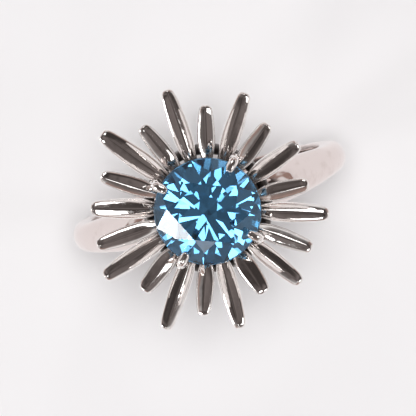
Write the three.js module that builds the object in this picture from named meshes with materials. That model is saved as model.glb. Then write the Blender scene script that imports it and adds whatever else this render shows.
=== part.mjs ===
// A silver cocktail ring: a round blue brilliant in a four-claw collet, ringed by twenty separate
// spear-shaped rays in two tiers, on a wire gallery and a half-round shank.
// Millimetres. Origin at the centre of the finger hole, +Y along the finger, +Z up to the stone.

import * as THREE from "three";
import { ConvexGeometry } from "three/addons/geometries/ConvexGeometry.js";

const joint = 0.03; // solder gap kept between neighbouring pieces

// The shank, worn on the finger.
const shank = {
  boreRadius: 9.1, // US size 8
  sideRadius: 10.95,
  baseRadius: 10.6,
  baseWidth: 2.3,
  topWidth: 3.2,
  widening: [0.2, 0.95], // shares of the height between which the band widens
  crown: 0.16, // the comfort-fit swell of the inner face
  flatShare: 0.42, // how much of the wall's thickness the flat sides take
  // the half-round outside: shares of the half width, and of the way from the flats up to the crest
  roundOver: [[0.8, 0.62], [0.42, 0.92]],
  seatZ: 10.3, // the flat seat filed across the top for the collet
  shoulderZ: 10.9, // the flats filed on the two shoulders for the gallery
  seatHalf: 3.7, // half the seat's length along X
  shoulderOut: 5.05, // how far out the shoulders' flats reach
  shoulderLow: 28, // degrees above the side where the shoulder starts to rise
  shoulderPower: 1.4, // above 1, the shoulder stays slim for longer
  steps: 96,
};

// The stone, a round brilliant with a crown of 33 facets and a pavilion of 24.
const stone = {
  girdleRadius: 4.0,
  tableRadius: 2.25,
  girdleZ: 14.6,
  girdleThickness: 0.2,
  crownHeight: 1.25,
  pavilionDepth: 3.45,
  starRadius: 3.05, // where the star facets' tips lie
  lowerHalfShare: 0.77, // how far the lower halves reach from girdle to culet
  fold: 8,
};

// The collet, a cone of sheet that the pavilion sits in. Its wall bows in a little at the waist.
const collet = {
  footZ: shank.seatZ + 2 * joint,
  footRadius: 2.95,
  waistZ: 12.25,
  waistRadius: 3.35,
  rimZ: 14.15,
  rimRadius: 3.9,
  wall: 0.55,
  bearing: 0.4, // height of the seat cut inside the rim
  lip: 0.06, // the rim's rounded outer corner
  steps: 48,
};

// The claws, of round wire that stands up past the girdle, bends in over the crown and thins.
const claw = {
  count: 4,
  firstAngle: 45,
  wireRadius: 0.4,
  footZ: 13.4,
  footRise: 0.2, // how far up the filed foot reaches
  footShare: 0.75, // how thick the foot is, as a share of the wire
  upright: [-0.35, 0.1], // heights over the girdle's top between which the claw stands upright
  bend: [0.22, 0.45], // the bend's place: out from the girdle, and over its top
  over: [[0.12, 0.388], [0.5, 0.3], [0.68, 0.165]], // distance in from the girdle, and radius
  sides: 10,
};

const gallery = { radius: 4.45, wireRadius: 0.42, sides: 12, steps: 60 };

// The rays, soldered round the collet in two tiers. Each is filed and set by hand, so "set" holds its
// reach from the axis and the degrees that it leans off its even spacing.
const tiers = {
  long: {
    name: "long_ray",
    firstAngle: 18,
    set: [[8.4, -0.6], [9.2, 0.1], [9.5, 1.3], [9.8, 0.7], [8.8, -0.2],
      [9.3, -2.8], [9.6, -1.9], [9.3, -2.6], [8.9, -2.2], [9.1, -2.4]],
    rootZ: 12.07,
    rise: 0.55,
    widest: 1.6,
    rootWidth: 1.0,
    thickness: 0.78,
  },
  short: {
    name: "short_ray",
    firstAngle: 0,
    set: [[7.8, -2.4], [7.9, 0.3], [7.9, 1.0], [8.0, 1.6], [8.4, -0.4],
      [8.7, -0.7], [7.7, -2.8], [7.9, -1.6], [7.5, -1.3], [8.3, -2.6]],
    rootZ: 12.86,
    rise: 0.95,
    widest: 1.46,
    rootWidth: 0.9,
    thickness: 0.7,
  },
};
const ray = {
  pitch: 36,
  bellyAt: 0.3, // share of the length where a ray is widest
  tipWidth: 0.9,
  ridge: 0.58, // share of the thickness that lies above the widest line
  taperPower: 0.85, // how the width falls from belly to tip
  curlPower: 1.35, // above 1, the ray curls up towards its tip
  thinPower: 1.5, // above 1, the ray keeps its thickness for longer
  tipHigh: 0.85, // thickness above and below at the tip, as shares of its half width
  tipLow: 0.6,
  blunt: [0.94, 1.004], // shares of the length between which the tip rounds off
  flank: [0.62, 0.5], // a point on each upper flank: shares of the half width and of the ridge's height
  back: 0.6, // the flatter back's half width, as a share of the ray's
  stations: [0, 0.12, 0.3, 0.45, 0.62, 0.78, 0.9, 0.97, 1],
};

const silver = new THREE.MeshStandardMaterial({ color: 0xd9d7d2, roughness: 0.18, metalness: 1 });
const topaz = new THREE.MeshStandardMaterial({ color: 0x1c86c4, roughness: 0.03, metalness: 0 });

const radians = THREE.MathUtils.degToRad;
const lerp = THREE.MathUtils.lerp;
const smooth = THREE.MathUtils.smoothstep;

const ring = new THREE.Group();

function place(name, geometry, material) {
  const piece = new THREE.Mesh(geometry, material);
  piece.name = name;
  ring.add(piece);
  return piece;
}

// Skins a row of outlines that all have the same number of points. An open row gets end caps.
function loft(outlines, closed) {
  const count = outlines[0].length;
  const points = outlines.flat();
  const faces = [];
  const spans = closed ? outlines.length : outlines.length - 1;
  for (let i = 0; i < spans; i++) {
    const here = i * count;
    const next = ((i + 1) % outlines.length) * count;
    for (let j = 0; j < count; j++) {
      const k = (j + 1) % count;
      faces.push(here + j, here + k, next + k, here + j, next + k, next + j);
    }
  }
  if (!closed) {
    const last = (outlines.length - 1) * count;
    for (let j = 1; j < count - 1; j++) {
      faces.push(0, j + 1, j);
      faces.push(last, last + j, last + j + 1);
    }
  }
  const geometry = new THREE.BufferGeometry().setFromPoints(points);
  geometry.setIndex(faces);
  geometry.computeVertexNormals();
  return geometry;
}

// The shank's outer radius at an angle from +X in the XZ plane, before its top is filed: a hoop that
// grows into two shoulders. Both halves are alike, so only the angle from the side counts.
function shankOuter(angle) {
  const height = Math.sin(angle);
  const side = Math.abs(Math.cos(angle));
  if (height <= 0) return lerp(shank.sideRadius, shank.baseRadius, -height);
  const top = Math.atan2(shank.shoulderZ, shank.shoulderOut);
  const low = radians(shank.shoulderLow);
  const here = Math.atan2(height, side);
  const atTop = Math.hypot(shank.shoulderZ, shank.shoulderOut);
  return lerp(shank.sideRadius, atTop, smooth(here, low, top) ** shank.shoulderPower);
}

// The radius that the file leaves at an angle: a flat for the gallery on each shoulder, and the
// collet's seat between them.
function shankFiled(angle) {
  const height = Math.sin(angle);
  const side = Math.abs(Math.cos(angle));
  if (height <= 0) return Infinity;
  const inSeat = (shank.seatZ / height) * side < shank.seatHalf;
  return (inSeat ? shank.seatZ : shank.shoulderZ) / height;
}

// One cross-section of the shank, a half-round with flat sides and a swelled inner face. It is listed
// from the bore's crest along one side to the outer crest, and back along the other.
function shankOutline(angle) {
  const width = lerp(shank.baseWidth, shank.topWidth, smooth(Math.sin(angle), ...shank.widening)) / 2;
  const inner = shank.boreRadius;
  const outer = shankOuter(angle);
  const filed = shankFiled(angle);
  const flat = inner + shank.crown + (outer - inner) * shank.flatShare;
  const side = [
    [0.5, inner + shank.crown / 4],
    [1, inner + shank.crown],
    [1, flat],
    ...shank.roundOver.map(([share, rise]) => [share, lerp(flat, outer, rise)]),
  ];
  const mirrored = side.map(([share, r]) => [-share, r]);
  const shape = [[0, inner], ...mirrored, [0, outer], ...side.reverse()];
  return shape.map(([share, radius]) => {
    const r = Math.min(radius, filed);
    return new THREE.Vector3(r * Math.cos(angle), width * share, r * Math.sin(angle));
  });
}

function makeShank() {
  const outlines = [];
  for (let i = 0; i < shank.steps; i++) outlines.push(shankOutline((i / shank.steps) * 2 * Math.PI));
  place("shank", loft(outlines, true), silver);
}

function makeGallery() {
  const { radius, wireRadius, sides, steps } = gallery;
  const geometry = new THREE.TorusGeometry(radius, wireRadius, sides, steps);
  place("gallery_ring", geometry, silver).position.z = shank.shoulderZ + joint + wireRadius;
}

// The collet's outer radius at a height.
function colletRadius(z) {
  const { footZ, footRadius, waistZ, waistRadius, rimZ, rimRadius } = collet;
  if (z < waistZ) return lerp(footRadius, waistRadius, (z - footZ) / (waistZ - footZ));
  return lerp(waistRadius, rimRadius, (z - waistZ) / (rimZ - waistZ));
}

// The radius of the bearing that takes the pavilion, a solder gap clear of the stone.
function bearingRadius(z) {
  const culet = stone.girdleZ - stone.girdleThickness / 2 - stone.pavilionDepth;
  return ((z - culet) / stone.pavilionDepth) * stone.girdleRadius + 2 * joint;
}

function makeCollet() {
  const { footZ, footRadius, waistZ, waistRadius, rimZ, rimRadius, wall, bearing, lip, steps } = collet;
  const profile = [
    [footRadius - wall, footZ],
    [footRadius, footZ],
    [waistRadius, waistZ],
    [colletRadius(rimZ - lip), rimZ - lip],
    [rimRadius - lip, rimZ],
    [bearingRadius(rimZ), rimZ],
    [bearingRadius(rimZ - bearing), rimZ - bearing],
    [waistRadius - wall, waistZ],
    [footRadius - wall, footZ],
  ].map(([r, z]) => new THREE.Vector2(r, z));
  const geometry = new THREE.LatheGeometry(profile, steps);
  place("collet", geometry, silver).rotation.x = Math.PI / 2; // a lathe turns about Y
}

function makeStone() {
  const { girdleRadius, tableRadius, starRadius, fold } = stone;
  const top = stone.girdleZ + stone.girdleThickness / 2;
  const bottom = stone.girdleZ - stone.girdleThickness / 2;
  const culet = bottom - stone.pavilionDepth;
  const half = Math.PI / fold;
  const crownSlope = stone.crownHeight / (girdleRadius - tableRadius);
  const starZ = top + (girdleRadius - starRadius * Math.cos(half)) * crownSlope;
  const lowerRadius = girdleRadius * (1 - stone.lowerHalfShare);
  const lowerZ = culet + (lowerRadius * Math.cos(half) * stone.pavilionDepth) / girdleRadius;
  const points = [new THREE.Vector3(0, 0, culet)];
  const add = (r, angle, z) => points.push(new THREE.Vector3(r * Math.cos(angle), r * Math.sin(angle), z));
  for (let k = 0; k < fold; k++) {
    const main = 2 * k * half;
    add(tableRadius, main, top + stone.crownHeight);
    add(starRadius, main + half, starZ);
    add(lowerRadius, main + half, lowerZ);
    for (const angle of [main, main + half]) {
      add(girdleRadius, angle, top);
      add(girdleRadius, angle, bottom);
    }
  }
  place("centre_stone", new ConvexGeometry(points), topaz);
}

// A round wire bent in the plane of its own spoke: path holds [distance from the axis, height, radius].
function bentWire(path, sides) {
  return path.map(([r, z, wire], i) => {
    const before = path[Math.max(i - 1, 0)];
    const after = path[Math.min(i + 1, path.length - 1)];
    const along = new THREE.Vector2(after[0] - before[0], after[1] - before[1]).normalize();
    const outline = [];
    for (let j = 0; j < sides; j++) {
      const turn = (j / sides) * 2 * Math.PI;
      const out = Math.cos(turn) * wire;
      outline.push(new THREE.Vector3(r + along.y * out, Math.sin(turn) * wire, z - along.x * out));
    }
    return outline;
  });
}

// A claw stands on the collet's side, passes the girdle and bends over a crown facet.
function makeClaws() {
  const { wireRadius, footZ } = claw;
  const girdleTop = stone.girdleZ + stone.girdleThickness / 2;
  const slope = stone.crownHeight / (stone.girdleRadius - stone.tableRadius);
  const beside = (z, wire) => [colletRadius(z) + wireRadius + joint, z, wire];
  const over = (r, wire) => {
    const facetZ = girdleTop + (stone.girdleRadius - r) * slope;
    return [r, facetZ + (wire + joint) * Math.hypot(1, slope), wire];
  };
  const path = [
    beside(footZ, wireRadius * claw.footShare),
    beside(footZ + claw.footRise, wireRadius),
    ...claw.upright.map((rise) => [stone.girdleRadius + wireRadius + joint, girdleTop + rise, wireRadius]),
    [stone.girdleRadius + claw.bend[0], girdleTop + claw.bend[1], wireRadius],
    ...claw.over.map(([inward, wire]) => over(stone.girdleRadius - inward, wire)),
  ];
  for (let i = 0; i < claw.count; i++) {
    const piece = place(`claw_${i + 1}`, loft(bentWire(path, claw.sides), false), silver);
    piece.rotation.z = radians(claw.firstAngle + (i * 360) / claw.count);
  }
}

// A ray's half width at a share of its length: it swells to the belly, then runs to a blunt point.
function rayWidth(tier, share) {
  if (share < ray.bellyAt) return lerp(tier.rootWidth, tier.widest, smooth(share, 0, ray.bellyAt)) / 2;
  const past = (share - ray.bellyAt) / (1 - ray.bellyAt);
  const [from, to] = ray.blunt;
  const rounded = Math.max(0, share - from) / (to - from);
  return (lerp(tier.widest, ray.tipWidth, past ** ray.taperPower) / 2) * Math.sqrt(1 - rounded ** 2);
}

// One ray lying along +X, a spear with a ridge on top and a flatter back, its root on the collet.
function rayGeometry(tier, reach) {
  const root = colletRadius(tier.rootZ + tier.thickness * ray.ridge) + joint;
  const outlines = ray.stations.map((share) => {
    const half = rayWidth(tier, share);
    const thinned = share ** ray.thinPower;
    const high = lerp(tier.thickness * ray.ridge, half * ray.tipHigh, thinned);
    const low = lerp(tier.thickness * (1 - ray.ridge), half * ray.tipLow, thinned);
    const x = lerp(root, reach, share);
    const z = tier.rootZ + tier.rise * share ** ray.curlPower;
    const [out, up] = ray.flank;
    const shape = [
      [0, high],
      [-half * out, high * up],
      [-half, 0],
      [-half * ray.back, -low],
      [half * ray.back, -low],
      [half, 0],
      [half * out, high * up],
    ];
    return shape.map(([y, rise]) => new THREE.Vector3(x, y, z + rise));
  });
  return loft(outlines, false);
}

function makeRays(tier) {
  tier.set.forEach(([reach, lean], i) => {
    const name = `${tier.name}_${String(i + 1).padStart(2, "0")}`;
    const piece = place(name, rayGeometry(tier, reach), silver);
    piece.rotation.z = radians(tier.firstAngle + i * ray.pitch + lean);
  });
}

makeShank();
makeGallery();
makeCollet();
makeStone();
makeClaws();
makeRays(tiers.long);
makeRays(tiers.short);

export default ring;
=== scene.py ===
import math
import random

import bmesh
import bpy
from mathutils import Matrix, Vector


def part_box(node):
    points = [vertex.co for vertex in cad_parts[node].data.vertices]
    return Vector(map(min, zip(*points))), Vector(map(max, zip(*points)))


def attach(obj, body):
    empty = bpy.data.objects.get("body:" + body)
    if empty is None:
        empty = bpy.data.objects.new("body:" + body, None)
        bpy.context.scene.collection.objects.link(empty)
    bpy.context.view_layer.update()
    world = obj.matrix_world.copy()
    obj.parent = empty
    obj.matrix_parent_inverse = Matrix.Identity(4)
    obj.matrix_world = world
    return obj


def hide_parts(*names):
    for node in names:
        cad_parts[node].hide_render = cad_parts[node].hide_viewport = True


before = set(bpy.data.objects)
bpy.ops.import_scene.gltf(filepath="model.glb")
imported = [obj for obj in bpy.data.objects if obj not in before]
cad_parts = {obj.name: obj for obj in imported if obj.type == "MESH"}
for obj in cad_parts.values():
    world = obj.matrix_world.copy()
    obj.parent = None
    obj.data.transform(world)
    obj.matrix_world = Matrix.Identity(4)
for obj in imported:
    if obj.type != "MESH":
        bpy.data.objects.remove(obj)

# A starburst cocktail ring. Blender works in metres, and mm turns the sizes below into them.
mm = 0.001
near = 0.01 * mm  # how close counts as the same place when points are picked
seam = 0.0001 * mm  # points closer than this are made one
crisp = math.radians(40)  # an edge that turns more than this isn't shaded smooth
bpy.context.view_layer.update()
steady = random.Random(8)  # the unevenness of hand work, the same on every run


# Modelling steps that every piece shares

def add(primitive, **settings):
    bpy.ops.object.select_all(action="DESELECT")
    primitive(**settings)
    bpy.ops.object.transform_apply(location=True, rotation=True, scale=True)
    return bpy.context.object


def edit():
    bpy.ops.object.mode_set(mode="EDIT")
    bpy.ops.mesh.select_mode(type="VERT")
    bpy.ops.mesh.select_all(action="SELECT")


def done():
    bpy.ops.object.mode_set(mode="OBJECT")


def pick(kind, test):
    bpy.ops.mesh.select_mode(type=kind)
    bpy.ops.mesh.select_all(action="DESELECT")
    mesh = bpy.context.object.data
    shape = bmesh.from_edit_mesh(mesh)
    for part in {"VERT": shape.verts, "EDGE": shape.edges, "FACE": shape.faces}[kind]:
        if test(part):
            part.select_set(True)
    bmesh.update_edit_mesh(mesh)


def pull(shift, size=(1, 1, 1), turn=0, pivot=None):
    # extrudes what is selected, then turns the new end about Y and scales it, both about the pivot
    bpy.ops.mesh.extrude_region_move(TRANSFORM_OT_translate={"value": shift})
    if turn:
        bpy.ops.transform.rotate(value=turn, orient_axis="Y", center_override=pivot)
    bpy.ops.transform.resize(value=size, center_override=pivot)


def modify(kind, **settings):
    piece = bpy.context.object
    bpy.ops.object.modifier_add(type=kind)
    modifier = piece.modifiers[-1]
    for name, value in settings.items():
        setattr(modifier, name, value)
    bpy.ops.object.modifier_apply(modifier=modifier.name)


def smooth(levels):
    modify("SUBSURF", levels=levels, render_levels=levels)
    bpy.ops.object.shade_smooth()


def takeUp(piece):
    bpy.ops.object.select_all(action="DESELECT")
    piece.select_set(True)
    bpy.context.view_layer.objects.active = piece


def copyOf(pattern):
    takeUp(pattern)
    bpy.ops.object.duplicate()


def settle(name, material, slot, *nodes):
    # cleans the mesh, gives it its finish and hands it to the frame
    piece = bpy.context.object
    piece.name = piece.data.name = name
    edit()
    bpy.ops.mesh.remove_doubles(threshold=seam)
    bpy.ops.mesh.select_all(action="SELECT")
    bpy.ops.mesh.normals_make_consistent(inside=False)
    done()
    piece.data.materials.clear()
    piece.data.materials.append(material)
    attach(piece, "root")
    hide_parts(*nodes)


# Shader steps that every finish shares

class Flow:
    # a node's output socket, so that shader maths can be written as sums
    def __init__(self, tree, socket=None):
        self.tree = tree
        self.socket = socket

    def node(self, kind, settings=None, values=None, out=0):
        # any other node: its settings first, then its sockets' values or links
        made = self.tree.nodes.new("ShaderNode" + kind)
        for name, value in (settings or {}).items():
            setattr(made, name, value)
        for name, value in (values or {}).items():
            if isinstance(value, Flow):
                self.tree.links.new(value.socket, made.inputs[name])
            else:
                made.inputs[name].default_value = value
        return Flow(self.tree, made.outputs[out])

    def __getitem__(self, name):
        return Flow(self.tree, self.socket.node.outputs[name])

    def reckon(self, operation, first, second):
        # one Math node
        return self.node("Math", {"operation": operation}, {0: first, 1: second})

    def __add__(self, other):
        return self.reckon("ADD", self, other)

    __radd__ = __add__

    def __sub__(self, other):
        return self.reckon("SUBTRACT", self, other)

    def __rsub__(self, other):
        return self.reckon("SUBTRACT", other, self)

    def __mul__(self, other):
        return self.reckon("MULTIPLY", self, other)

    __rmul__ = __mul__

    def __truediv__(self, other):
        return self.reckon("DIVIDE", self, other)

    def __rtruediv__(self, other):
        return self.reckon("DIVIDE", other, self)

    def fade(self, low, high):
        # 0 below low, 1 above high, and smooth between
        settings = {"interpolation_type": "SMOOTHSTEP"}
        return self.node("MapRange", settings, {"Value": self, "From Min": low, "From Max": high})

    def mix(self, first, second):
        # the first colour where self is 0, the second where it is 1
        return self.node("Mix", {"data_type": "RGBA"}, {0: self, 6: first, 7: second}, out=2)


def newMaterial(name):
    material = bpy.data.materials.new(name)
    material.use_nodes = True
    tree = material.node_tree
    tree.nodes.clear()
    shader = tree.nodes.new("ShaderNodeBsdfPrincipled")
    output = tree.nodes.new("ShaderNodeOutputMaterial")
    tree.links.new(shader.outputs[0], output.inputs["Surface"])
    return material, Flow(tree), shader


def connect(value, node, name):
    value.tree.links.new(value.socket, node.inputs[name])


def inMillimetres(flow):
    place = flow.node("TexCoord", out="Object")
    return flow.node("VectorMath", {"operation": "SCALE"}, {0: place, "Scale": 1 / mm})


def coordinates(place):
    parts = place.node("SeparateXYZ", values={0: place})
    return parts["X"], parts["Y"], parts["Z"]


def point(x, y, z=0.0):
    return x.node("CombineXYZ", values={0: x, 1: y, 2: z})


def fromAxis(x, y):
    # distance from an axis, given the two coordinates across it
    return x.node("VectorMath", {"operation": "LENGTH"}, {0: point(x, y)}, out="Value")


def noise(place, scale, detail, roughness=0.5):
    values = {"Vector": place, "Scale": scale, "Detail": detail, "Roughness": roughness}
    return place.node("TexNoise", values=values)


silverLook = {
    "patina": (0.10, 0.092, 0.088, 1),  # grey oxide left in the recesses
    "patinaRoughness": 0.3,  # how much rougher the oxide is
    "ragged": 0.6,  # how ragged the oxide's edge is, in mm
    "speckle": 2.0,  # how fine that edge's pattern is, per mm, and so for the next four
    "clouds": 0.9,
    "filing": 1.3,
    "rayHairs": (55, 0.5),  # about the ring's upright axis, and out along a ray
    "bandHairs": (4, 16),  # round the finger, and across the band
    "roughness": 0.055,
    "hairline": 0.05,  # how much rougher a hairline scratch is
    "hairlineFrom": (0.52, 0.68),  # the noise between which a hairline sets in
    "cloud": 0.07,  # how much rougher a cloudy patch is
    "cloudFrom": (0.5, 0.75),
    "waver": 0.012 * mm,  # depth of the uneven filing
    "scratch": 0.0012 * mm,  # depth of a hairline
}


def makeSilver(name, hairs, bright, dull, patina=None):
    # hairs is "ray" where hairlines run out from the stone, and "band" where they run round the finger
    # patina gives the radii in mm where the oxide is whole and where it is worn away
    material, flow, shader = newMaterial(name)
    look = silverLook
    place = inMillimetres(flow)
    x, y, z = coordinates(place)
    if hairs == "ray":
        radius = fromAxis(x, y)
        around, out = look["rayHairs"]
        grain = point(x / radius * around, y / radius * around, radius * out)
    else:
        radius = fromAxis(x, z)
        around, across = look["bandHairs"]
        grain = point(x / radius * around, y * across, z / radius * around)
    hairline = noise(grain, 1.0, 3.0)
    cloudy = noise(place, look["clouds"], 3.0, 0.6).fade(*look["cloudFrom"])
    colour = cloudy.mix(bright, dull)
    rougher = hairline.fade(*look["hairlineFrom"]) * look["hairline"] + cloudy * look["cloud"]
    roughness = look["roughness"] + rougher
    if patina:
        speckle = noise(place, look["speckle"], 2.0)
        dark = 1 - (radius + (speckle - 0.5) * look["ragged"]).fade(*patina)
        colour = dark.mix(colour, look["patina"])
        roughness = roughness + dark * look["patinaRoughness"]
    connect(colour, shader, "Base Color")
    connect(roughness, shader, "Roughness")
    shader.inputs["Metallic"].default_value = 1.0
    filing = noise(place, look["filing"], 1.0)
    waves = flow.node("Bump", values={"Strength": 1.0, "Distance": look["waver"], "Height": filing})
    marks = {"Strength": 1.0, "Distance": look["scratch"], "Height": hairline, "Normal": waves}
    connect(flow.node("Bump", values=marks), shader, "Normal")
    return material


coneLook = {
    "foot": 2.68,  # radius of the middle of the wall at the foot, in mm
    "rim": 3.66,  # and at the rim
    "edge": 0.02,  # half the width of the change from outside to inside
    "bright": (0.96, 0.95, 0.94, 1),
    "roughness": 0.08,
    "speckle": 1.3,  # how fine the oxide's pattern is, per mm
    "speckleFrom": (0.3, 0.7),  # the noise between which it sets in
    "thinnest": 0.7,  # the least share of oxide outside
    "oxideRoughness": 0.3,
    "rings": (0.4, 22),  # how fine the turning marks are: across the cone, and up it
    "ringsFrom": (0.5, 0.7),
    "ringRoughness": 0.08,
}


def makeConeSilver():
    # the collet is dark outside, where oxide was left, and burnished bright inside, behind the stone
    material, flow, shader = newMaterial("coneSilver")
    look = coneLook
    low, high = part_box("collet")
    place = inMillimetres(flow)
    x, y, z = coordinates(place)
    rise = (z - low.z / mm) / ((high.z - low.z) / mm)
    wallMiddle = look["foot"] + rise * (look["rim"] - look["foot"])
    outside = (fromAxis(x, y) - wallMiddle).fade(-look["edge"], look["edge"])
    patchy = noise(place, look["speckle"], 2.0).fade(*look["speckleFrom"])
    dark = outside * (look["thinnest"] + patchy * (1 - look["thinnest"]))
    across, upward = look["rings"]
    rings = noise(point(x * across, y * across, z * upward), 1.0, 2.0)
    roughness = look["roughness"] + dark * look["oxideRoughness"]
    ringed = rings.fade(*look["ringsFrom"])
    connect(dark.mix(look["bright"], silverLook["patina"]), shader, "Base Color")
    connect(roughness + ringed * look["ringRoughness"], shader, "Roughness")
    shader.inputs["Metallic"].default_value = 1.0
    marks = {"Strength": 1.0, "Distance": silverLook["scratch"], "Height": rings}
    connect(flow.node("Bump", values=marks), shader, "Normal")
    return material


# The stone's cut. The first shares are of the girdle's radius, and the last two of the whole height.
cut = {
    "blankSides": 96,
    "fold": 8,
    "table": 0.5625,
    "starTip": 0.7625,
    "lowerHalf": 0.23,
    "crown": 0.255,
    "girdle": 0.041,
}
stoneLook = {
    "tint": (0.78, 0.95, 1.0, 1),
    "zone": (0.68, 0.92, 1.0, 1),  # faint bands of deeper colour
    "zones": 0.35,  # how fine those bands are, per mm
    "zonesFrom": (0.4, 0.6),  # the noise between which they set in
    "wear": 5.0,  # how fine the polish marks are, per mm
    "wearFrom": (0.55, 0.8),
    "wearRoughness": 0.02,
    "body": (0.0, 0.56, 0.88, 1),  # what a long way through the stone leaves
    "density": 160.0,
    "ior": 1.62,
    "frost": 0.35,  # roughness of the girdle, which isn't polished
    "frostEdge": 0.02,  # how soft the frost's edge is, in mm
}


def makeStoneFinish():
    material, flow, shader = newMaterial("blueStone")
    look = stoneLook
    low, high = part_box("centre_stone")
    height = (high.z - low.z) / mm
    girdleTop = high.z / mm - cut["crown"] * height
    girdleLow = girdleTop - cut["girdle"] * height
    place = inMillimetres(flow)
    z = coordinates(place)[2]
    edge = z.fade(girdleLow - look["frostEdge"], girdleLow)
    frosted = edge - edge * z.fade(girdleTop, girdleTop + look["frostEdge"])
    banded = noise(place, look["zones"], 1.0).fade(*look["zonesFrom"])
    worn = noise(place, look["wear"], 3.0).fade(*look["wearFrom"])
    connect(banded.mix(look["tint"], look["zone"]), shader, "Base Color")
    connect(worn * look["wearRoughness"] + frosted * look["frost"], shader, "Roughness")
    shader.inputs["IOR"].default_value = look["ior"]
    shader.inputs["Transmission Weight"].default_value = 1.0
    depth = flow.node("VolumeAbsorption", values={"Color": look["body"], "Density": look["density"]})
    connect(depth, material.node_tree.get_output_node("ALL"), "Volume")
    return material


cleanSilver, cloudedSilver = (0.94, 0.905, 0.885, 1), (0.80, 0.765, 0.745, 1)
raySilver = makeSilver("raySilver", "ray", cleanSilver, cloudedSilver, patina=(3.6, 4.4))
clawSilver = makeSilver("clawSilver", "ray", cleanSilver, cloudedSilver)
wireSilver = makeSilver("wireSilver", "ray", cleanSilver, cloudedSilver, patina=(4.6, 5.6))
# painted reflection: the band's clean and clouded colours are tinted pink-tan to stand in for the warm skin
# the real band mirrors; the clouding between them is tarnish
bandSilver = makeSilver("bandSilver", "band", (0.82, 0.735, 0.71, 1), (0.73, 0.64, 0.61, 1))
coneSilver = makeConeSilver()
blueStone = makeStoneFinish()
print("finishes ready")


# The stone is cut from a round blank by laying flats on it.

def makeStone():
    low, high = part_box("centre_stone")
    radius, height = high.x, high.z - low.z
    step = math.pi / cut["fold"]
    crownLow = high.z - cut["crown"] * height
    girdleLow = crownLow - cut["girdle"] * height
    crownSlope = (high.z - crownLow) / (radius * (1 - cut["table"]))
    lowerSlope = (girdleLow - low.z) / radius

    def at(share, turns, z):
        return Vector((share * radius * math.cos(turns * step), share * radius * math.sin(turns * step), z))

    def starTip(turns):
        reach = cut["starTip"] * radius * math.cos(step)
        return at(cut["starTip"], turns, crownLow + (radius - reach) * crownSlope)

    def lowerTip(turns):
        return at(cut["lowerHalf"], turns, low.z + cut["lowerHalf"] * radius * math.cos(step) * lowerSlope)

    def layFlat(first, second, third):
        # cuts away all that lies outside the plane through three points
        face = (second - first).cross(third - first).normalized()
        if face.dot(first - Vector((0, 0, girdleLow))) < 0:
            face = -face
        bpy.ops.mesh.select_all(action="SELECT")
        # the threshold is kept tiny, or corners that lie close together merge
        bpy.ops.mesh.bisect(plane_co=first, plane_no=face, use_fill=True, clear_outer=True,
                            threshold=1e-9)

    add(bpy.ops.mesh.primitive_cylinder_add, vertices=cut["blankSides"], radius=radius, depth=height,
        location=(0, 0, (low.z + high.z) / 2))
    edit()
    for k in range(0, 2 * cut["fold"], 2):  # k counts half steps of the fold
        layFlat(at(1, k, crownLow), starTip(k - 1), starTip(k + 1))  # kite
        layFlat(at(cut["table"], k, high.z), at(cut["table"], k + 2, high.z), starTip(k + 1))  # star
        layFlat(at(1, k, crownLow), at(1, k + 1, crownLow), starTip(k + 1))  # upper halves
        layFlat(at(1, k + 2, crownLow), at(1, k + 1, crownLow), starTip(k + 1))
        layFlat(at(1, k, girdleLow), at(1, k + 1, girdleLow), lowerTip(k + 1))  # lower halves
        layFlat(at(1, k + 2, girdleLow), at(1, k + 1, girdleLow), lowerTip(k + 1))
        layFlat(at(0, 0, low.z), lowerTip(k - 1), lowerTip(k + 1))  # pavilion main
    done()
    bpy.ops.object.shade_flat()
    settle("stone", blueStone, "blue_stone", "centre_stone")


makeStone()
print("stone cut")


# The rays. One long and one short are modelled, then copied into the places the frame gives.

longRay = {
    "sides": 12,
    # at each station, a share of the length, the ray has this width and height in mm
    "stations": [0, 0.05, 0.13, 0.26, 0.42, 0.58, 0.74, 0.87, 0.95, 1],
    "width": [1.20, 1.04, 1.22, 1.56, 1.66, 1.60, 1.46, 1.30, 1.10, 0.64],
    "height": [0.94, 0.76, 0.74, 0.76, 0.78, 0.76, 0.72, 0.66, 0.58, 0.36],
    "bend": 1.15,  # above 1, the ray curls up towards its tip
    "keel": 0.13,  # how far the ridge stands up, in mm
    "ridge": 0.7,  # how sharp the line along the top stays
    "belly": 0.8,  # how deep the underside is, as a share of the top
}
shortRay = dict(
    longRay,
    width=[1.10, 0.94, 1.10, 1.42, 1.52, 1.46, 1.34, 1.20, 1.02, 0.58],
    height=[0.88, 0.70, 0.68, 0.70, 0.72, 0.70, 0.66, 0.62, 0.54, 0.34],
)
handWork = {
    "roll": 8,  # degrees that a ray may lie turned on its own length
    "width": 0.07,  # share that it may be wider or slimmer
    "bite": 0.06,  # mm that its root stands in the collet
}


def rayPlace(node):
    # the way a ray points, and the middles of its root and its tip when it is turned back onto +X
    corners = [v.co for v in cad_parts[node].data.vertices]
    turn = math.atan2(sum(c.y for c in corners), sum(c.x for c in corners))
    straight = [Matrix.Rotation(-turn, 3, "Z") @ c for c in corners]

    def middle(x):
        heights = [c.z for c in straight if abs(c.x - x) < near]
        return Vector((x, 0, (min(heights) + max(heights)) / 2))

    return turn, middle(min(c.x for c in straight)), middle(max(c.x for c in straight))


def onRidge(edge):
    return all(abs(v.co.y) < near for v in edge.verts) and edge.link_faces[0].normal.z > 0.3


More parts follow.
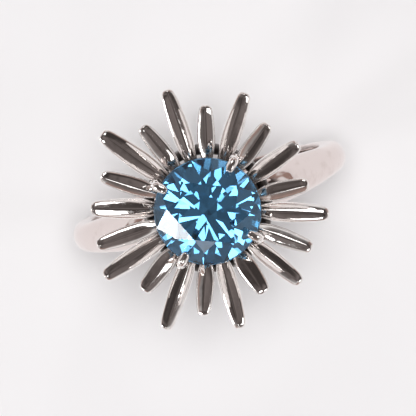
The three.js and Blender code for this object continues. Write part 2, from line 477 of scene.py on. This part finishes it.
def modelRay(ray, start, tip):
    rise = tip.z - start.z
    length = tip.x - start.x
    add(bpy.ops.mesh.primitive_circle_add, vertices=ray["sides"], radius=0.5 * mm, fill_type="NGON",
        rotation=(0, math.pi / 2, 0), location=start)
    edit()
    bpy.ops.transform.resize(value=(1, ray["width"][0], ray["height"][0]), center_override=start)
    pick("VERT", lambda v: v.co.z < start.z - near)
    bpy.ops.transform.resize(value=(1, 1, ray["belly"]), center_override=start)
    top = start.z + ray["height"][0] / 2 * mm
    pick("VERT", lambda v: v.co.z > top - near)
    bpy.ops.transform.translate(value=(0, 0, ray["keel"] * mm))
    pick("FACE", lambda f: True)
    for i in range(1, len(ray["stations"])):
        before, here = ray["stations"][i - 1], ray["stations"][i]
        shift = Vector(((here - before) * length, 0, (here ** ray["bend"] - before ** ray["bend"]) * rise))
        pivot = (start.x + here * length, 0, start.z + here ** ray["bend"] * rise)
        size = (1, ray["width"][i] / ray["width"][i - 1], ray["height"][i] / ray["height"][i - 1])
        pull(shift, size, pivot=pivot)
    pick("EDGE", onRidge)
    bpy.ops.transform.edge_crease(value=ray["ridge"])
    done()
    smooth(2)
    return bpy.context.object


def makeRays(label, ray, nodes):
    start, tip = rayPlace(nodes[0])[1:]
    pattern = modelRay(ray, start, tip)
    bite = handWork["bite"] * mm
    for node in nodes:
        turn, root, end = rayPlace(node)
        copyOf(pattern)
        edit()
        stretch = (end.x - root.x + bite) / (tip.x - start.x)
        widen = 1 + steady.uniform(-1, 1) * handWork["width"]
        bpy.ops.transform.resize(value=(stretch, widen, 1), center_override=start)
        bpy.ops.transform.translate(value=(-bite, 0, 0))
        roll = math.radians(steady.uniform(-1, 1) * handWork["roll"])
        bpy.ops.transform.rotate(value=roll, orient_axis="X", center_override=start)
        bpy.ops.transform.rotate(value=-turn, orient_axis="Z", center_override=(0, 0, 0))
        done()
        settle(label + node[-2:], raySilver, "polished_silver", node)
    bpy.data.objects.remove(pattern)


def nodesNamed(start):
    return sorted(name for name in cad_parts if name.startswith(start))


makeRays("rayLong", longRay, nodesNamed("long_ray_"))
makeRays("rayShort", shortRay, nodesNamed("short_ray_"))
print("rays soldered on")


# The collet, raised from a circle along its profile

collet = {
    "sides": 64,
    "waistShare": 0.5,  # how far up its height the waist lies
    "wall": 0.5,  # in mm, as all the sizes after it are
    "lip": 0.05,
    "pinch": 0.08,  # how far the wall bows in at the waist
    "clear": 0.06,  # between the bearing and the stone
    "bearing": 0.4,  # height of the seat cut inside the rim
    "soften": 0.03,  # how round its edges are
}


def makeCollet():
    low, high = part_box("collet")
    stoneLow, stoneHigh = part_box("centre_stone")
    corners = [v.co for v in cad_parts["collet"].data.vertices]
    foot = max(c.xy.length for c in corners if c.z < low.z + near)
    rim = high.x
    wall, lip = collet["wall"] * mm, collet["lip"] * mm
    waistZ = low.z + (high.z - low.z) * collet["waistShare"]
    waist = (foot + rim) / 2 - collet["pinch"] * mm
    girdleLow = stoneHigh.z - (cut["crown"] + cut["girdle"]) * (stoneHigh.z - stoneLow.z)

    def bearing(z):
        # the seat's radius at a height, which follows the pavilion
        return (z - stoneLow.z) / (girdleLow - stoneLow.z) * stoneHigh.x + collet["clear"] * mm

    seatZ = high.z - collet["bearing"] * mm
    profile = [
        (foot, low.z),
        (foot + lip, low.z + lip),
        (waist, waistZ),
        (rim - lip / 2, high.z - 2 * lip),
        (rim - lip, high.z),
        (bearing(high.z), high.z),
        (bearing(seatZ), seatZ),
        (waist - wall, waistZ),
        (foot - wall + lip, low.z + lip),
        (foot - wall, low.z),
        (foot, low.z),
    ]
    add(bpy.ops.mesh.primitive_circle_add, vertices=collet["sides"], radius=foot,
        location=(0, 0, low.z))
    edit()
    for (before, beforeZ), (here, hereZ) in zip(profile, profile[1:]):
        pull((0, 0, hereZ - beforeZ), (here / before, here / before, 1), pivot=(0, 0, hereZ))
    bpy.ops.mesh.select_all(action="SELECT")
    bpy.ops.mesh.remove_doubles(threshold=seam)
    bpy.ops.mesh.normals_make_consistent(inside=False)
    done()
    modify("BEVEL", width=collet["soften"] * mm, segments=2, limit_method="ANGLE",
           angle_limit=math.radians(25))
    bpy.ops.object.shade_smooth_by_angle(angle=crisp)
    settle("colletCone", coneSilver, "polished_silver", "collet")


makeCollet()


# The gallery wire under the rays

wire = {"sides": 16, "steps": 120}


def makeGallery():
    low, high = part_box("gallery_ring")
    thickness = (high.z - low.z) / 2
    middle = (low.z + high.z) / 2
    add(bpy.ops.mesh.primitive_circle_add, vertices=wire["sides"], radius=thickness,
        rotation=(math.pi / 2, 0, 0), location=(high.x - thickness, 0, middle))
    edit()
    bpy.ops.mesh.spin(steps=wire["steps"], angle=2 * math.pi, center=(0, 0, middle), axis=(0, 0, 1))
    done()
    bpy.ops.object.shade_smooth()
    settle("galleryWire", wireSilver, "polished_silver", "gallery_ring")


makeGallery()
print("collet and gallery made")


# The claws: one wire bent over the stone's edge, then four copies

claw = {
    "sides": 12,
    # in mm: out from the girdle, up from its top edge, and the wire's radius
    "path": [(0.10, -1.42, 0.30), (0.13, -1.28, 0.38), (0.29, -0.75, 0.40), (0.42, -0.3, 0.40),
             (0.43, 0.1, 0.40), (0.36, 0.33, 0.40), (0.16, 0.5, 0.40), (-0.14, 0.62, 0.38),
             (-0.42, 0.74, 0.34), (-0.60, 0.80, 0.26), (-0.68, 0.82, 0.14)],
}


def makeClaws(nodes):
    low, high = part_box("centre_stone")
    edgeZ = high.z - cut["crown"] * (high.z - low.z)
    path = []
    for out, up, radius in claw["path"]:
        path.append((Vector((high.x + out * mm, 0, edgeZ + up * mm)), radius * mm))

    def lean(i):
        # the wire's direction at a point, as an angle from +X towards +Z
        run = path[min(i + 1, len(path) - 1)][0] - path[max(i - 1, 0)][0]
        return math.atan2(run.z, run.x)

    start, radius = path[0]
    add(bpy.ops.mesh.primitive_circle_add, vertices=claw["sides"], radius=radius, fill_type="NGON",
        rotation=(0, math.pi / 2 - lean(0), 0), location=start)
    edit()
    for i in range(1, len(path)):
        (before, beforeRadius), (here, radius) = path[i - 1], path[i]
        swing = math.remainder(lean(i) - lean(i - 1), 2 * math.pi)
        pull(here - before, (radius / beforeRadius,) * 3, turn=swing, pivot=here)
    done()
    smooth(2)
    pattern = bpy.context.object
    for node in nodes:
        clawLow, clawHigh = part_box(node)
        middle = (clawLow + clawHigh) / 2
        turn = math.atan2(middle.y, middle.x)
        copyOf(pattern)
        edit()
        bpy.ops.transform.rotate(value=-turn, orient_axis="Z", center_override=(0, 0, 0))
        done()
        settle("clawWire" + node[-1], clawSilver, "polished_silver", node)
    bpy.data.objects.remove(pattern)


makeClaws(nodesNamed("claw_"))
print("claws bent over the stone")


# The shank: a half-round section drawn round the finger into two shoulders, then filed flat on top

shank = {
    "steps": 96,
    "bore": 9.1,  # radius of the finger hole, in mm, as the next sizes are
    "baseWidth": 2.3,
    "topWidth": 3.2,
    "baseThickness": 1.5,
    "sideThickness": 1.85,
    "seatZ": 10.3,  # height of the collet's seat
    "seatHalf": 3.8,  # how far along X the seat reaches
    "shoulderZ": 10.9,  # height of the shoulders' flats
    "shoulderOut": 5.05,  # how far along X they reach
    "soften": 0.05,  # how round the filed edges are
    "shoulderLow": 28,  # degrees above the side where the shoulder starts to rise
    "shoulderPower": 1.4,  # above 1, the shoulder stays slim for longer
    "widening": (0.2, 0.95),  # shares of the height between which the band widens
    "outerRound": 0.49,  # how far the outer corners are rounded, as a share of the thickness
    "innerRound": 0.1,  # and the inner ones
}


def ease(share):
    share = min(max(share, 0), 1)
    return share * share * (3 - 2 * share)


def shankSize(angle):
    # thickness and width of the section at an angle round the hoop, from +X towards +Z
    height, side = math.sin(angle), abs(math.cos(angle))
    widerFrom, widerTo = shank["widening"]
    wider = ease((height - widerFrom) / (widerTo - widerFrom))
    width = shank["baseWidth"] + (shank["topWidth"] - shank["baseWidth"]) * wider
    if height <= 0:
        thick = shank["sideThickness"] + (shank["baseThickness"] - shank["sideThickness"]) * -height
        return thick * mm, width * mm
    top = math.atan2(shank["shoulderZ"], shank["shoulderOut"])
    low = math.radians(shank["shoulderLow"])
    climb = ease((math.atan2(height, side) - low) / (top - low)) ** shank["shoulderPower"]
    reach = math.hypot(shank["shoulderZ"], shank["shoulderOut"]) - shank["bore"]
    return (shank["sideThickness"] + (reach - shank["sideThickness"]) * climb) * mm, width * mm


def fileFlat(band, reach, z):
    # takes away all that stands above a height, as far as reach each way along X
    tall, wide = 3 * mm, 5 * mm
    waste = add(bpy.ops.mesh.primitive_cube_add, size=1, location=(0, 0, z + tall / 2),
                scale=(2 * reach, wide, tall))
    takeUp(band)
    modify("BOOLEAN", operation="DIFFERENCE", object=waste, solver="EXACT")
    bpy.data.objects.remove(waste)


def makeShank():
    bore = shank["bore"] * mm
    thick, width = shankSize(-math.pi / 2)
    add(bpy.ops.mesh.primitive_plane_add, size=thick, rotation=(0, math.pi / 2, 0),
        location=(0, 0, -bore - thick / 2))
    edit()
    pick("VERT", lambda v: v.co.z < -bore - thick / 2)
    bpy.ops.mesh.bevel(affect="VERTICES", offset=shank["outerRound"] * thick, segments=5)
    innerRound = shank["innerRound"] * thick
    pick("VERT", lambda v: v.co.z > -bore - innerRound)
    bpy.ops.mesh.bevel(affect="VERTICES", offset=innerRound, segments=2)
    pick("FACE", lambda f: True)
    bpy.ops.transform.resize(value=(1, width / thick, 1), center_override=(0, 0, -bore))
    turn = 2 * math.pi / shank["steps"]
    for i in range(1, shank["steps"]):
        angle = -math.pi / 2 + i * turn
        newThick, newWidth = shankSize(angle)
        pivot = (bore * math.cos(angle), 0, bore * math.sin(angle))
        bpy.ops.mesh.extrude_region_move(TRANSFORM_OT_translate={"value": (0, 0, 0)})
        bpy.ops.transform.rotate(value=turn, orient_axis="Y", center_override=(0, 0, 0))
        scale = newThick / thick
        bpy.ops.transform.resize(value=(scale, newWidth / width, scale), center_override=pivot)
        thick, width = newThick, newWidth
    pick("FACE", lambda f: len(f.verts) > 4)  # the two cut ends
    bpy.ops.mesh.bridge_edge_loops()
    done()
    smooth(1)
    band = bpy.context.object
    fileFlat(band, 2 * shank["shoulderOut"] * mm, shank["shoulderZ"] * mm)
    fileFlat(band, shank["seatHalf"] * mm, shank["seatZ"] * mm)
    modify("BEVEL", width=shank["soften"] * mm, segments=2, limit_method="ANGLE",
           angle_limit=math.radians(35))
    bpy.ops.object.shade_smooth_by_angle(angle=crisp)
    settle("band", bandSilver, "polished_silver", "shank")


makeShank()
print("shank drawn")


# Studio: a pale floor, a bright wall all round with darker cloth on it, and a dim ceiling

studio = {
    "floorSize": 2.0,
    "floor": (0.86, 0.855, 0.87, 1),
    "floorPale": (0.88, 0.875, 0.885, 1),
    "floorGrain": 60.0,
    "floorRoughness": 0.7,
    "ceiling": (0.045, 0.038, 0.036, 1),
    "ceilingPale": (0.17, 0.145, 0.14, 1),  # where stray light falls on it
    "stray": 3.0,  # how fine the pattern of stray light is
    "strayFrom": (0.3, 0.7),  # the noise between which it sets in
    "wall": (0.80, 0.79, 0.79, 1),
    "screen": (0.34, 0.24, 0.21, 1),  # darker cloth hung in patches on the wall
    "patches": 2.2,  # how fine the patches are
    "patchesFrom": (0.42, 0.58),
    "backdrop": (0.86, 0.855, 0.865, 1),  # what the camera itself sees past the floor
    "wallTop": (0.26, 0.52),  # where the wall fades into the ceiling, as a share of straight up
    # each lamp: azimuth and elevation in degrees, distance, width and height in metres, brightness
    "boxes": [
        (184.5, 17, 0.50, 0.09, 0.09, 15.0),  # the glare on one crown facet
        (206.7, 41, 0.50, 0.05, 0.05, 13.0),  # and on the star facet beside it
        (75, 40, 0.60, 0.24, 0.12, 3.5),
        (335, 38, 0.60, 0.20, 0.12, 3.5),
        (250, 40, 0.60, 0.16, 0.12, 3.0),
    ],
    "stoneFill": (0, 90, 0.65, 0.8, 0.8, 0.10),  # the same, seen through the stone alone
    "sun": {"azimuth": 65, "elevation": 84, "strength": 2.1, "angle": 20},
}
# small square lamps overhead, spread in a spiral round straight up; angles in degrees
stoneLights = {"count": 11, "spread": 24, "turn": 130, "distance": 0.6, "side": 0.075, "bright": (1.2, 5.0)}


def makeFloor():
    low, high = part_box("shank")
    floor = add(bpy.ops.mesh.primitive_plane_add, size=studio["floorSize"], location=(0, 0, low.z))
    floor.name = "floor"
    material, flow, shader = newMaterial("paleFloor")
    grain = noise(flow.node("TexCoord", out="Object"), studio["floorGrain"], 2.0)
    connect(grain.mix(studio["floor"], studio["floorPale"]), shader, "Base Color")
    shader.inputs["Roughness"].default_value = studio["floorRoughness"]
    floor.data.materials.append(material)


def makeWorld():
    world = bpy.data.worlds.new("tent")
    bpy.context.scene.world = world
    world.use_nodes = True
    tree = world.node_tree
    tree.nodes.clear()
    flow = Flow(tree)
    towards = flow.node("TexCoord", out="Generated")
    bare = noise(towards, studio["patches"], 1.0).fade(*studio["patchesFrom"])
    wall = bare.mix(studio["screen"], studio["wall"])
    lit = noise(towards, studio["stray"], 1.0).fade(*studio["strayFrom"])
    ceiling = lit.mix(studio["ceiling"], studio["ceilingPale"])
    up = coordinates(towards)[2]
    tent = up.fade(*studio["wallTop"]).mix(wall, ceiling)
    colour = flow.node("LightPath", out="Is Camera Ray").mix(tent, studio["backdrop"])
    background = flow.node("Background", values={"Color": colour, "Strength": 1.0})
    connect(background, tree.nodes.new("ShaderNodeOutputWorld"), "Surface")


def skyward(azimuth, elevation):
    a, e = math.radians(azimuth), math.radians(elevation)
    return Vector((math.cos(a) * math.cos(e), math.sin(a) * math.cos(e), math.sin(e)))


def addLamp(azimuth, elevation, distance, width, height, brightness, forStone=False):
    towards = skyward(azimuth, elevation)
    bpy.ops.object.light_add(type="AREA", location=towards * distance)
    lamp = bpy.context.object
    lamp.rotation_euler = towards.to_track_quat("Z", "Y").to_euler()
    lamp.data.shape = "RECTANGLE"
    lamp.data.size, lamp.data.size_y = width, height
    lamp.data.energy = brightness * math.pi * width * height
    lamp.visible_camera = False
    if forStone:
        lamp.visible_glossy = lamp.visible_diffuse = False


def addStoneLights():
    # the stone sends light from overhead straight back up, so these are for it alone
    look = stoneLights
    goldenAngle = 180 * (3 - math.sqrt(5))
    for i in range(look["count"]):
        azimuth = look["turn"] + i * goldenAngle
        away = look["spread"] * math.sqrt((i + 0.5) / look["count"])
        brightness = steady.uniform(*look["bright"])
        addLamp(azimuth, 90 - away, look["distance"], look["side"], look["side"], brightness, forStone=True)


def addSun():
    # lights the floor evenly, and leaves the silver's tops dark because they don't mirror it
    sun = studio["sun"]
    bpy.ops.object.light_add(type="SUN")
    lamp = bpy.context.object
    lamp.rotation_euler = skyward(sun["azimuth"], sun["elevation"]).to_track_quat("Z", "Y").to_euler()
    lamp.data.energy = sun["strength"]
    lamp.data.angle = math.radians(sun["angle"])
    lamp.visible_glossy = lamp.visible_transmission = lamp.visible_camera = False


def makeLamps():
    for box in studio["boxes"]:
        addLamp(*box)
    addLamp(*studio["stoneFill"], forStone=True)
    addStoneLights()
    addSun()


camera = {
    "aim": (0.0, 0.0, 0.0115),
    "distance": 0.45,
    "lens": 520,
    "sensor": 36,
    "clipStart": 0.01,
    "leanX": 2.0,  # degrees off straight down, as is the next
    "leanY": 4.3,
    "roll": 18,  # how far the ring lies turned in the frame
}


def makeCamera():
    leanX, leanY, roll = (math.radians(camera[name]) for name in ("leanX", "leanY", "roll"))
    lean = Vector((math.sin(leanX), math.sin(leanY), 1)).normalized()
    right = Vector((math.cos(roll), -math.sin(roll), 0))
    right = (right - right.dot(lean) * lean).normalized()
    up = lean.cross(right)
    bpy.ops.object.camera_add(location=Vector(camera["aim"]) + lean * camera["distance"])
    made = bpy.context.object
    made.rotation_euler = Matrix((right, up, lean)).transposed().to_euler()
    made.data.lens = camera["lens"]
    made.data.sensor_width = camera["sensor"]
    made.data.clip_start = camera["clipStart"]
    bpy.context.scene.camera = made


makeFloor()
makeWorld()
makeLamps()
makeCamera()
bpy.context.scene.view_settings.view_transform = "Standard"
print("studio lit")
